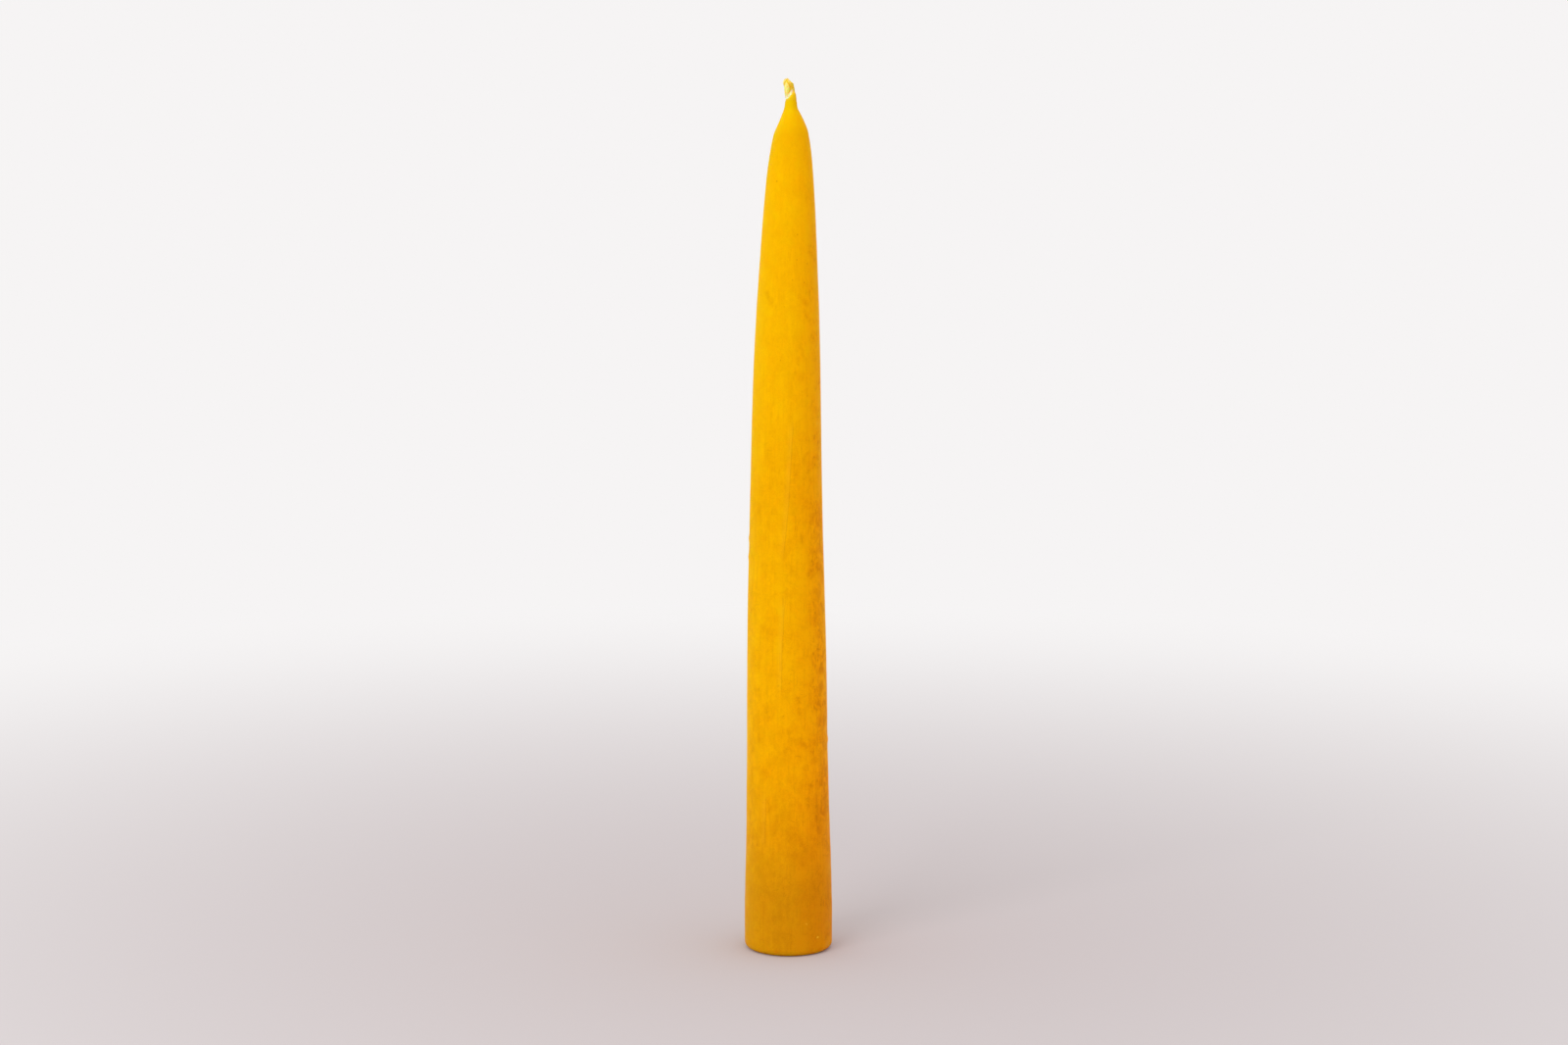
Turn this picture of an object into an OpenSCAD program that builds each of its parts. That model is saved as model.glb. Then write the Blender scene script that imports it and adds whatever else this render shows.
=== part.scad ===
// Dipped taper candle: a beeswax body built up round a plaited cotton wick.
// The candle stands on z = 0, its straight axis is the Z axis, and the bare wick leans towards -X.

/* [Foot] */
// Diameter of the foot, the part that a socket holds
foot_d = 22.2; // [16:0.1:30]
// Height of the foot's straight part above the ground
foot_h = 12; // [6:0.5:25]
// Rounding of the foot's bottom edge
foot_edge_r = 1.5; // [0.5:0.1:4]

/* [Taper] */
// Height of the wax, from the ground to the top of the neck
wax_h = 214.5; // [120:0.5:320]
// Diameter at which the taper turns into the shoulder
shoulder_d = 8.8; // [7:0.1:13]
// Lean of the side just above the foot, in degrees from upright
foot_lean = 1.4; // [0:0.1:6]
// Length over which the foot's lean shapes the side
foot_pull = 50; // [5:1:80]
// Lean of the side just below the shoulder, in degrees from upright
top_lean = 12.5; // [4:0.5:15]
// Length over which the shoulder's lean shapes the side
top_pull = 22; // [10:1:50]

/* [Shoulder and neck] */
// Radius of the round from the taper into the cone
shoulder_round = 11; // [2:0.5:16]
// Lean of the cone under the neck, in degrees from upright
cone_lean = 24.5; // [18:0.5:35]
// Radius of the hollow round from the cone into the neck
neck_round = 4.4; // [2:0.2:8]
// Thickness of the wax round the wick at the neck
neck_film = 0.15; // [0.1:0.05:0.8]
// Length of neck over which that film thins out onto the wick
film_run = 0.6; // [0.3:0.1:4]
// Thickness that the film has left at its upper edge
film_edge = 0.03; // [0.01:0.01:0.08]

/* [Wick] */
// Diameter of the waxed wick inside the candle, which fills its bore
wick_d = 2.7; // [1.6:0.1:4]
// Length of the bare wick above the neck
wick_out = 5.5; // [3:0.1:12]
// How far the bare wick's tip leans over from the axis
wick_bend = 0.72; // [0:0.02:1.5]
// Height of the bare wick's pointed tip
tip_h = 1.3; // [0.5:0.1:2.5]

/* [Plait] */
// How much wider the bare plait opens out than the wick in the bore
plait_open = 0.1; // [0:0.05:0.6]
// Thickness of the plait as a share of its width
plait_flat = 0.8; // [0.7:0.01:0.95]
// Width of one strand as a share of the plait's width
strand_share = 0.58; // [0.52:0.01:0.66]
// Length of plait in which one strand crosses over and back
plait_pitch = 13; // [8:0.5:20]
// Place in the pitch at which the plait leaves the neck, in degrees
plait_turn = 355; // [0:5:355]

/* [Hidden] */
$fn = 96;

wax_colour = "#f2ab12";
wick_colour = "#f3d34a";

side_steps = 36;
round_steps = 8;
film_steps = 5;
strands = 3;
plait_sides = 24;
plait_rings = 20;
tip_rings = 7;
// Depth to which the plait's own form reaches down into the round wick, and its clearance there
root_h = 0.6;
root_gap = 0.02;
// Height over which the plait opens out above the neck
open_h = 0.9;
// Power that gives the tip its pointed arch, and the last ring's share of the plait's width
tip_power = 1.8;
tip_end = 0.05;

foot_r = foot_d / 2;
wick_r = wick_d / 2;
neck_r = wick_r + neck_film;

// The neck, cone and shoulder are worked down from the top of the wax
neck_z = wax_h - film_run;
cone_top_r = neck_r + neck_round * (1 - cos(cone_lean));
cone_top_z = neck_z - neck_round * sin(cone_lean);
cone_foot_r = shoulder_d / 2 - shoulder_round * (cos(top_lean) - cos(cone_lean));
cone_foot_z = cone_top_z - (cone_foot_r - cone_top_r) / tan(cone_lean);
shoulder_z = cone_foot_z - shoulder_round * (sin(cone_lean) - sin(top_lean));

plait_w = wick_d + plait_open;
strand_r = plait_w * strand_share / 2;
swing_x = plait_w / 2 - strand_r;
swing_y = plait_w * plait_flat / 2 - strand_r;
root_share = (wick_r - root_gap) / (plait_w / 2);

// Points of an arc about c, from one angle to another
function arc(c, r, from, to) =
    [for (i = [0:round_steps])
        let (a = from + (to - from) * i / round_steps)
        [c[0] + r * cos(a), c[1] + r * sin(a)]];

// Point at share t of a cubic curve with ends a and d and handles b and c
function cubic(a, b, c, d, t) =
    a * pow(1 - t, 3) + 3 * b * t * pow(1 - t, 2) + 3 * c * t * t * (1 - t) + d * pow(t, 3);

// Rises smoothly from 0 to 1
function ease(t) = let (u = min(1, max(0, t))) u * u * (3 - 2 * u);

// Side of the taper between the foot and the shoulder, without its two ends
function taper_side() =
    let (
        low = [foot_r, foot_h],
        high = [shoulder_d / 2, shoulder_z],
        low_handle = low + foot_pull * [-sin(foot_lean), cos(foot_lean)],
        high_handle = high + top_pull * [sin(top_lean), -cos(top_lean)]
    )
    [for (i = [1:side_steps - 1]) cubic(low, low_handle, high_handle, high, i / side_steps)];

// Half section of the wax, from the bore's lower end round the outside to its upper end
function wax_section() =
    concat(
        [[wick_r, 0]],
        arc([foot_r - foot_edge_r, foot_edge_r], foot_edge_r, -90, 0),
        [[foot_r, foot_h]],
        taper_side(),
        arc([shoulder_d / 2, shoulder_z] - shoulder_round * [cos(top_lean), sin(top_lean)],
            shoulder_round, top_lean, cone_lean),
        arc([neck_r + neck_round, neck_z], neck_round, 180 + cone_lean, 180),
        [for (i = [1:film_steps])
            let (t = i / film_steps)
            [neck_r - (neck_film - film_edge) * ease(t), neck_z + film_run * t]],
        [[wick_r, wax_h]]
    );

// Centre of strand k across the plait, at height h above the neck
function strand_centre(k, h) =
    let (t = 360 * (h / plait_pitch + k / strands) + plait_turn)
    [swing_x * sin(t), swing_y * sin(2 * t)];

// Distance from the plait's middle to the outside of a strand, looking in direction a
function strand_reach(c, a) =
    let (along = c[0] * cos(a) + c[1] * sin(a))
    along + sqrt(strand_r * strand_r - c * c + along * along);

// Share of its full width that the plait has at height h
function plait_share(h) =
    let (tip = max(0, 1 - (wick_out - h) / tip_h))
    (root_share + (1 - root_share) * ease(h / open_h)) * max(tip_end, 1 - pow(tip, tip_power));

// Heights of the plait's rings above the neck, which lie closer together towards the tip
function ring_heights() =
    concat(
        [for (i = [0:plait_rings]) -root_h + i * (wick_out - tip_h + root_h) / plait_rings],
        [for (i = [1:tip_rings]) wick_out - tip_h * (1 - sin(90 * i / tip_rings))]
    );

// One ring of the plait, which follows the outermost strand all the way round
function plait_ring(h) =
    let (shift = wick_bend * ease(h / wick_out))
    [for (i = [0:plait_sides - 1])
        let (
            a = 360 * i / plait_sides,
            reach = max([for (k = [0:strands - 1]) strand_reach(strand_centre(k, h), a)])
        )
        [reach * plait_share(h) * cos(a) - shift, reach * plait_share(h) * sin(a), wax_h + h]];

// Skin over a stack of rings with n points each, closed at both ends
module loft(rings, n) {
    last = len(rings) - 1;
    polyhedron(
        points = [for (ring = rings) each ring],
        faces = concat(
            [[for (i = [0:n - 1]) i]],
            [for (j = [0:last - 1], i = [0:n - 1]) [j * n + i, (j + 1) * n + i, j * n + (i + 1) % n]],
            [for (j = [0:last - 1], i = [0:n - 1])
                [(j + 1) * n + i, (j + 1) * n + (i + 1) % n, j * n + (i + 1) % n]],
            [[for (i = [n - 1:-1:0]) last * n + i]]
        )
    );
}

module wax_body() {
    color(wax_colour)
        rotate_extrude() polygon(wax_section());
}

module wick() {
    color(wick_colour) {
        cylinder(d = wick_d, h = wax_h);
        loft([for (h = ring_heights()) plait_ring(h)], plait_sides);
    }
}

wax_body();
wick();
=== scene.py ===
"""A hand-dipped beeswax taper candle: bowed, rippled wax, the waxed plait of its wick, and a plain stage."""

import bisect
import functools
import math

import bmesh
import bpy
from bpy.props import FloatProperty, FloatVectorProperty, IntProperty, PointerProperty
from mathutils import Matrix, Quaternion, Vector, noise


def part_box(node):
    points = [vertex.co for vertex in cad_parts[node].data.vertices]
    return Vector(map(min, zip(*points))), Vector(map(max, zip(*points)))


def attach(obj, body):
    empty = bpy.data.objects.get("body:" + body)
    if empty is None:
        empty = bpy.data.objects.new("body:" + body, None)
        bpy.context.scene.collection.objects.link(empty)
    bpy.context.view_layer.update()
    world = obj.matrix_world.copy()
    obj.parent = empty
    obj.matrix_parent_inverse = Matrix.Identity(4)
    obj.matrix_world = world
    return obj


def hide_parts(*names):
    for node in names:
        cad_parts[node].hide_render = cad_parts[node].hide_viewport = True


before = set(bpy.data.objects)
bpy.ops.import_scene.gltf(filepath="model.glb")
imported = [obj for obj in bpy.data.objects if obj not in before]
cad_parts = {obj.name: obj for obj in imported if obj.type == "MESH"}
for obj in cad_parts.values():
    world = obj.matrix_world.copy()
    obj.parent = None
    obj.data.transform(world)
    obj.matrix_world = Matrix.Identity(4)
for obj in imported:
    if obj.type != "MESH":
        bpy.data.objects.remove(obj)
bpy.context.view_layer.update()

bl_info = {
    "name": "Dipped taper candle",
    "version": (1, 0, 0),
    "blender": (4, 5, 0),
    "location": "3D View > Sidebar > Candle",
    "description": "Models a hand-dipped beeswax taper candle and its stage",
    "category": "Add Mesh",
}

MM = 0.001

WAX_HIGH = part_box("wax_body")[1]
FOOT_R = WAX_HIGH.x
WAX_TOP = WAX_HIGH.z
WICK_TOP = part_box("wick")[1].z
BORE_R = min(math.hypot(v.co.x, v.co.y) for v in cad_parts["wax_body"].data.vertices)
WICK_R = BORE_R - 0.02 * MM
STRANDS = 3

# Marks of the hand-dipped candle, in millimetres and in degrees round from +X. The front is at -90 degrees.

# Sideways place of the bowed middle line at each height
BOW = ((0, 0), (25, -0.12), (50, -0.42), (83, -0.72), (113, -0.91), (137, -0.87), (160, -0.66),
       (181, -0.38), (200, -0.10), (214.5, 0.02))

# Soft unevenness: size across and along the candle, place in the noise, depth above and at the foot
LUMPS = (
    (9.0, 16.0, 0, 0.056, 0.056),
    (3.2, 4.5, 40, 0.020, 0.046),
    (1.5, 1.9, -70, 0.006, 0.016),
    (1.6, 34.0, 11, 0.011, 0.011),
)

# Small set drips and the bead at the foot: angle, height, how far it stands out, reach
BUMPS = (
    (180, 105.4, 0.15, 1.3),
    (181, 100.7, 0.16, 1.4),
    (-4, 54.1, 0.16, 1.4),
    (-38, 1.8, 0.32, 2.6),
    (-112, 1.6, 0.20, 2.2),
    (74, 2.2, 0.26, 2.4),
    (141, 61.0, 0.12, 1.6),
    (48, 131.0, 0.10, 1.5),
)

# Hairline creases between two layers of wax: sideways place and height of points on the front, downwards
CREASES = (
    ((0.93, 136.8), (0.42, 128.3), (0.05, 121.0), (-0.37, 113.7), (-0.96, 107.6), (-1.65, 100.0)),
    ((-0.89, 92.6), (-1.32, 87.7), (-1.69, 80.0), (-1.85, 75.3), (-1.89, 70.6), (-2.05, 65.9)),
    ((-5.82, 42.9), (-5.93, 36.6), (-6.04, 31.5), (-5.91, 26.5)),
)

# Pits where a bubble broke: angle, height, radius
PITS = (
    (-123.4, 194.7, 0.34), (-72.3, 181.7, 0.24), (-73.3, 175.5, 0.24), (-50.3, 174.5, 0.26),
    (-81.9, 170.5, 0.24), (-57.9, 169.9, 0.26), (-101.2, 150.7, 0.26), (62, 188, 0.3), (112, 143, 0.28),
)

# Soft darker stains, and with a minus sign paler runs: angle and height of both ends, half width, strength.
# The two paler runs down the front at about -100 degrees are a painted highlight, and the wide run at -28
# degrees from 112 mm down to 32 mm is a painted shadow down that side.
STAINS = (
    (-54.8, 127.7, -77.3, 121.5, 0.9, 0.22), (-48.8, 123.7, -69.1, 119.2, 0.8, 0.15),
    (-65.5, 107.3, -64.0, 105.2, 0.9, 0.4), (-83.9, 100.2, -81.1, 96.5, 1.4, 0.15),
    (-55.3, 98.8, -52.6, 92.3, 1.2, 0.3), (-138.5, 114.5, -138.8, 107.6, 1.2, 0.2),
    (-126.2, 98.7, -115.6, 96.4, 1.3, 0.2), (-141.9, 93.5, -140.0, 87.4, 1.2, 0.25),
    (-123.4, 84.2, -112.0, 82.9, 2.2, 0.25), (-143.5, 68.1, -132.0, 68.4, 1.6, 0.4),
    (-118.3, 67.6, -120.1, 60.6, 2.0, 0.22), (-134.0, 60.3, -133.4, 54.8, 2.4, 0.22),
    (-74.8, 66.1, -71.4, 61.8, 1.1, 0.4), (-73.7, 70.5, -64.8, 69.5, 0.8, 0.3),
    (-87.1, 57.2, -80.9, 55.7, 0.9, 0.4), (-71.6, 56.3, -65.9, 53.3, 0.9, 0.4),
    (-132.6, 47.8, -122.1, 46.1, 1.5, 0.3), (-70.7, 48.3, -61.9, 46.7, 1.2, 0.25),
    (-57.4, 44.1, -61.3, 38.2, 1.1, 0.45), (-117.3, 39.9, -115.8, 37.2, 0.8, 0.3),
    (-73.7, 30.1, -66.9, 27.2, 1.0, 0.3), (-48.4, 35.6, -45.2, 32.5, 1.0, 0.3),
    (-29.6, 74.5, -35.5, 59.1, 1.3, 0.35), (-133.3, 167.0, -116.6, 164.1, 1.2, 0.3),
    (-68.4, 166.6, -49.5, 164.1, 0.9, 0.2), (-58.6, 162.7, -45.5, 159.7, 0.8, 0.3),
    (-67.0, 154.5, -51.4, 149.6, 1.1, 0.2), (-70.8, 151.2, -75.6, 147.6, 0.7, 0.3),
    (-98.7, 146.0, -100.2, 94.0, 1.6, -0.14), (-100.2, 94.0, -103.7, 56.0, 1.5, -0.12),
    (-155, 92.0, -152, 28.0, 4.5, 0.22), (-28, 112.0, -30, 32.0, 5.0, 0.42),
    (95, 101, 82, 95, 1.3, 0.4), (38, 76, 33, 69, 1.0, 0.4), (150, 42, 160, 38, 1.2, 0.4),
    (118, 160, 104, 154, 1.1, 0.3), (64, 132, 70, 104, 1.4, -0.14), (20, 54, 27, 49, 1.0, 0.4),
)

# Thin scratches and folds: angle and height of both ends
SCRATCHES = (
    (-63.2, 49.0, -53.3, 49.3), (-53.3, 49.3, -41.8, 49.9), (-108.6, 32.1, -99.0, 34.2),
    (-95.2, 24.4, -89.9, 26.2), (-132.1, 70.9, -121.6, 72.1), (-121.6, 72.1, -109.7, 72.0),
    (-123.3, 61.3, -108.4, 61.1), (-106.4, 61.1, -94.0, 61.7), (108, 52, 117, 55), (44, 84, 52, 82),
)

# Pale specks of wax that stand proud: angle, height, radius. The two at 135 mm and 50 mm are painted glints
# on glossy bumps.
SPECKS_AND_GLINTS = (
    (-28.4, 135.0, 0.28), (-32.7, 50.0, 0.3), (-66, 8.5, 0.3), (-49, 4.6, 0.4), (-96, 11.0, 0.3),
    (80, 120, 0.3),
)


def linear(hex_colour):
    """Linear red, green and blue of an sRGB colour such as #f2ab12."""
    channels = [int(hex_colour[i:i + 2], 16) / 255 for i in (1, 3, 5)]
    return [c / 12.92 if c <= 0.04045 else ((c + 0.055) / 1.055) ** 2.4 for c in channels]


def ease(t):
    """Rises smoothly from 0 to 1."""
    t = min(1.0, max(0.0, t))
    return t * t * (3 - 2 * t)


def mix(a, b, t):
    """Value between a and b."""
    return a + (b - a) * t


def curve_at(points, x):
    """Value at x of a smooth curve through (x, value) points whose x rises."""
    i = min(len(points) - 2, max(0, bisect.bisect_right(points, (x, math.inf)) - 1))

    def slope(k):
        a, b = points[max(0, k - 1)], points[min(len(points) - 1, k + 1)]
        return (b[1] - a[1]) / (b[0] - a[0])

    span = points[i + 1][0] - points[i][0]
    t = min(1.0, max(0.0, (x - points[i][0]) / span))
    return (points[i][1] * (2 * t ** 3 - 3 * t ** 2 + 1) + slope(i) * span * (t ** 3 - 2 * t ** 2 + t)
            + points[i + 1][1] * (3 * t ** 2 - 2 * t ** 3) + slope(i + 1) * span * (t ** 3 - t ** 2))


# Settings


class DippedWaxSettings(bpy.types.PropertyGroup):
    """Form and colour of the dipped wax"""

    bow: FloatProperty(
        name="Bow", description="Share of the candle's bow away from its straight axis", default=1.0)
    wave_depth: FloatProperty(
        name="Wave depth", description="How much the slow waves of dipping thicken and thin the radius",
        default=0.09 * MM, unit="LENGTH", precision=5)
    wave_length: FloatProperty(
        name="Wave length", description="Height from one slow wave to the next",
        default=72 * MM, unit="LENGTH")
    wave_crest: FloatProperty(
        name="Wave crest", description="Height of the lowest crest of the slow waves",
        default=80 * MM, unit="LENGTH")
    lumps: FloatProperty(
        name="Lumps", description="Share of the soft lumps that run and set on the side", default=1.0)
    shoulder_tilt: FloatProperty(
        name="Shoulder tilt", description="How much higher the shoulder sits towards +X than at the middle",
        default=0.5 * MM, unit="LENGTH", precision=5)
    row_step: FloatProperty(
        name="Row step", description="Height of one row of faces on the side",
        default=0.5 * MM, unit="LENGTH", precision=5)
    sides: IntProperty(
        name="Sides", description="Number of faces round the candle", default=160, min=48, max=160)
    # Painted shade: the foot and low colours are darker as if the foot stood in shade
    shaded_foot_colour: FloatVectorProperty(
        name="Foot colour", description="Deep honey colour of the thick wax at the foot",
        subtype="COLOR", size=3, default=linear("#dc9b0a"))
    shaded_low_colour: FloatVectorProperty(
        name="Low colour", description="Honey colour where the side leaves the foot",
        subtype="COLOR", size=3, default=linear("#eeab07"))
    side_colour: FloatVectorProperty(
        name="Side colour", description="Warm yellow of the long side",
        subtype="COLOR", size=3, default=linear("#fcbb04"))
    # Painted light: the upper, cone and tip colours grow clearer lemon as if light shone through the thin wax
    upper_colour: FloatVectorProperty(
        name="Upper colour", description="Clearer yellow of the thinner wax under the shoulder",
        subtype="COLOR", size=3, default=linear("#ffc703"))
    cone_colour: FloatVectorProperty(
        name="Cone colour", description="Yellow of the cone above the shoulder",
        subtype="COLOR", size=3, default=linear("#f1c004"))
    tip_colour: FloatVectorProperty(
        name="Tip colour", description="Clear yellow of the thin wax at the neck",
        subtype="COLOR", size=3, default=linear("#efc504"))
    film_colour: FloatVectorProperty(
        name="Film colour", description="Lemon of the film of wax that climbs the wick",
        subtype="COLOR", size=3, default=linear("#f3cd05"))
    # Painted shade: the tint of the +X side, away from the lamp
    side_shade_tint: FloatVectorProperty(
        name="Kept tint", description="Tint of the side that no light has bleached",
        subtype="COLOR", size=3, default=linear("#ffd9b8"))
    # Also the tint of the painted shade in the dips of the relief and on the +X side's relief and chatter
    dark_and_shade_tint: FloatVectorProperty(
        name="Dark tint", description="Tint that the darker blotches, lines and stains give the wax",
        subtype="COLOR", size=3, default=linear("#dfc898"))
    pit_tint: FloatVectorProperty(
        name="Pit tint", description="Tint of the wax down in a pit or a crease",
        subtype="COLOR", size=3, default=linear("#d8b88c"))
    # Pale colour of the paler layers and specks, and of the two painted glints
    pale_colour: FloatVectorProperty(
        name="Pale colour", description="Lemon of the spots that stand proud",
        subtype="COLOR", size=3, default=linear("#ffd440"))


class PlaitedWickSettings(bpy.types.PropertyGroup):
    """Form and colour of the plaited wick"""

    plait_width: FloatProperty(
        name="Plait width", description="Width of the bare plait across its two lobes",
        default=2.8 * MM, unit="LENGTH", precision=5)
    plait_flat: FloatProperty(
        name="Plait flatness", description="Thickness of the plait as a share of its width", default=0.8)
    strand_share: FloatProperty(
        name="Strand share", description="Width of one strand as a share of the plait's width", default=0.58)
    plait_pitch: FloatProperty(
        name="Plait pitch", description="Length in which one strand crosses over and back",
        default=13 * MM, unit="LENGTH")
    plait_turn: FloatProperty(
        name="Plait turn", description="Place in the pitch at which the plait leaves the neck",
        default=math.radians(355), subtype="ANGLE")
    bend: FloatProperty(
        name="Bend", description="How far the wick's tip leans over, towards -X",
        default=0.78 * MM, unit="LENGTH", precision=5)
    bend_height: FloatProperty(
        name="Bend height", description="Height above the neck in which the wick leans over",
        default=5.0 * MM, unit="LENGTH", precision=5)
    tip_height: FloatProperty(
        name="Tip height", description="Height of the pointed tip",
        default=1.3 * MM, unit="LENGTH", precision=5)
    tip_slant: FloatProperty(
        name="Tip slant", description="How much the tip is higher on one side than at its middle",
        default=0.28 * MM, unit="LENGTH", precision=5)
    film_rise: FloatProperty(
        name="Film rise", description="Height to which the wax film climbs the wick",
        default=1.2 * MM, unit="LENGTH", precision=5)
    film_slant: FloatProperty(
        name="Film slant", description="How much higher the film's edge is towards +X",
        default=0.95 * MM, unit="LENGTH", precision=5)
    sides: IntProperty(
        name="Sides", description="Number of faces round the wick", default=96, min=24, max=160)
    # Painted light: the crown colour is lemon where the strands catch the light; the valley colour is painted
    # shade
    lit_crown_colour: FloatVectorProperty(
        name="Crown colour", description="Pale lemon of the waxed cotton on the strands' crowns",
        subtype="COLOR", size=3, default=linear("#faea84"))
    valley_shade_colour: FloatVectorProperty(
        name="Valley colour", description="Deeper gold of the wax that fills the plait's valleys",
        subtype="COLOR", size=3, default=linear("#f0c818"))
    # Painted shade: the gold of the +X side, away from the lamp
    shaded_side_colour: FloatVectorProperty(
        name="Thick wax colour", description="Gold of the side on which the wax set thicker",
        subtype="COLOR", size=3, default=linear("#e6be14"))
    # Partly pale cotton and partly a painted highlight
    edge_colour: FloatVectorProperty(
        name="Film edge colour", description="Creamy white of the thick edge in which the film ends",
        subtype="COLOR", size=3, default=linear("#fff8c4"))
    tip_colour: FloatVectorProperty(
        name="Tip colour", description="Amber of the drop of wax on the wick's very tip",
        subtype="COLOR", size=3, default=linear("#edb83a"))


class StageSettings(bpy.types.PropertyGroup):
    """Camera, lamps and floor"""

    lens: FloatProperty(name="Lens", description="Focal length of the camera", default=65, unit="CAMERA")
    distance: FloatProperty(
        name="Distance", description="Level distance from the camera to the candle's axis",
        default=708 * MM, unit="LENGTH")
    height: FloatProperty(
        name="Height", description="Height of the camera above the floor", default=196.3 * MM, unit="LENGTH")
    offset: FloatProperty(
        name="Offset", description="How far the camera stands to the left of the candle's axis",
        default=1.43 * MM, unit="LENGTH", precision=5)
    pitch: FloatProperty(
        name="Pitch", description="How far the camera looks down", default=math.radians(7.0), subtype="ANGLE")
    roll: FloatProperty(
        name="Roll", description="How far the camera is turned about its own line of sight",
        default=math.radians(0.15), subtype="ANGLE")
    floor_colour: FloatVectorProperty(
        name="Floor colour", description="Pale warm grey of the floor near the candle",
        subtype="COLOR", size=3, default=linear("#cbc2c3"))
    backdrop_colour: FloatVectorProperty(
        name="Backdrop colour", description="Near white that the floor and the room fade into",
        subtype="COLOR", size=3, default=linear("#f6f4f4"))
    fade_start: FloatProperty(
        name="Fade start", description="Distance from the candle at which the floor starts to fade",
        default=20 * MM, unit="LENGTH")
    fade_end: FloatProperty(
        name="Fade end", description="Distance from the candle at which the floor has faded into the room",
        default=580 * MM, unit="LENGTH")
    key_power: FloatProperty(
        name="Key power", description="Power of the soft lamp at the left", default=3.7, unit="POWER")
    room_light: FloatProperty(
        name="Room light", description="Strength of the even light from all round", default=0.955)


# Shared modelling


def start_fresh():
    """Leaves edit mode and deselects everything, so that an operator acts on the new piece alone."""
    if bpy.context.mode != "OBJECT":
        bpy.ops.object.mode_set(mode="OBJECT")
    bpy.ops.object.select_all(action="DESELECT")


def turned(name, section, sides):
    """Spins a half section of (radius, height) points about the Z axis into one closed mesh.

    A section that starts and ends on the axis is closed by its two poles, and any other by its own last edge.
    """
    start_fresh()
    bpy.ops.mesh.primitive_circle_add(vertices=len(section), radius=FOOT_R, fill_type="NOTHING")
    piece = bpy.context.object
    piece.name = piece.data.name = name
    for vertex, (radius, height) in zip(piece.data.vertices, section):
        vertex.co = (radius, 0, height)
    bpy.ops.object.mode_set(mode="EDIT")
    bpy.ops.mesh.select_mode(type="EDGE")
    bpy.ops.mesh.select_all(action="DESELECT")
    on_axis = section[0][0] == 0 and section[-1][0] == 0
    if on_axis:
        shape = bmesh.from_edit_mesh(piece.data)
        for edge in shape.edges:
            edge.select = all(v.co.x == 0 for v in edge.verts)
        bmesh.update_edit_mesh(piece.data)
        bpy.ops.mesh.delete(type="EDGE")
    bpy.ops.mesh.select_all(action="SELECT")
    bpy.ops.mesh.spin(steps=sides, angle=math.tau, center=(0, 0, 0), axis=(0, 0, 1))
    bpy.ops.mesh.select_all(action="SELECT")
    bpy.ops.mesh.remove_doubles(threshold=0.001 * MM)
    bpy.ops.mesh.normals_make_consistent(inside=False)
    bpy.ops.object.mode_set(mode="OBJECT")
    bpy.ops.object.shade_smooth()
    return piece


def store(piece, stored):
    """Keeps named lists, with one number for each vertex, on a piece for its material."""
    for name, values in stored.items():
        piece.data.attributes.new(name, "FLOAT", "POINT").data.foreach_set("value", values)


def cad_rings(node):
    """(height, radius) of each ring of points on the outside of a turned CAD node, from its foot up."""
    widest = {}
    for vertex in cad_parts[node].data.vertices:
        height = round(vertex.co.z, 6)
        widest[height] = max(widest.get(height, 0), math.hypot(vertex.co.x, vertex.co.y))
    return sorted(widest.items())


WAX_SIDE = cad_rings("wax_body")


def resampled(points, step):
    """Even points, about a step apart, on a smooth curve through the given ones."""
    lengths = [0.0]
    for a, b in zip(points, points[1:]):
        lengths.append(lengths[-1] + math.dist(a, b))
    tracks = [[(length, point[k]) for length, point in zip(lengths, points)] for k in (0, 1)]
    count = max(2, round(lengths[-1] / step))
    return [tuple(curve_at(track, lengths[-1] * n / count) for track in tracks) for n in range(count + 1)]


@functools.cache
def bow_shift(height):
    """Sideways shift of the candle's middle line at a height, which the wick inside follows."""
    return bpy.context.scene.dipped_wax.bow * MM * curve_at(BOW, height / MM)


def on_side(degrees, height):
    """Point on the finished side at an angle and a height in millimetres."""
    angle, rise = math.radians(degrees), height * MM
    radius = curve_at(WAX_SIDE, rise)
    return Vector((bow_shift(rise) + radius * math.cos(angle), radius * math.sin(angle), rise))


def angle_gap(a, b):
    """Smallest turn between two angles."""
    return (a - b + math.pi) % math.tau - math.pi


# The field of a Map Range node that rises smoothly
SMOOTH = {"interpolation_type": "SMOOTHSTEP"}


def add_node(tree, kind, inputs=None, out=0, **settings):
    """Adds a node of a kind, sets its fields, and sets or links each of its inputs.

    It gives back the output that is asked for by its number or name, or the node itself for None.
    """
    node = tree.nodes.new(kind)
    for field, value in settings.items():
        setattr(node, field, value)
    for socket, value in (inputs or {}).items():
        if isinstance(value, bpy.types.NodeSocket):
            tree.links.new(value, node.inputs[socket])
        else:
            node.inputs[socket].default_value = value
    return node if out is None else node.outputs[out]


def new_material(name):
    """A material with an empty tree, and the function that adds a node to that tree."""
    material = bpy.data.materials.new(name)
    material.use_nodes = True
    material.node_tree.nodes.clear()
    return material, functools.partial(add_node, material.node_tree)


# Dipped wax


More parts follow.
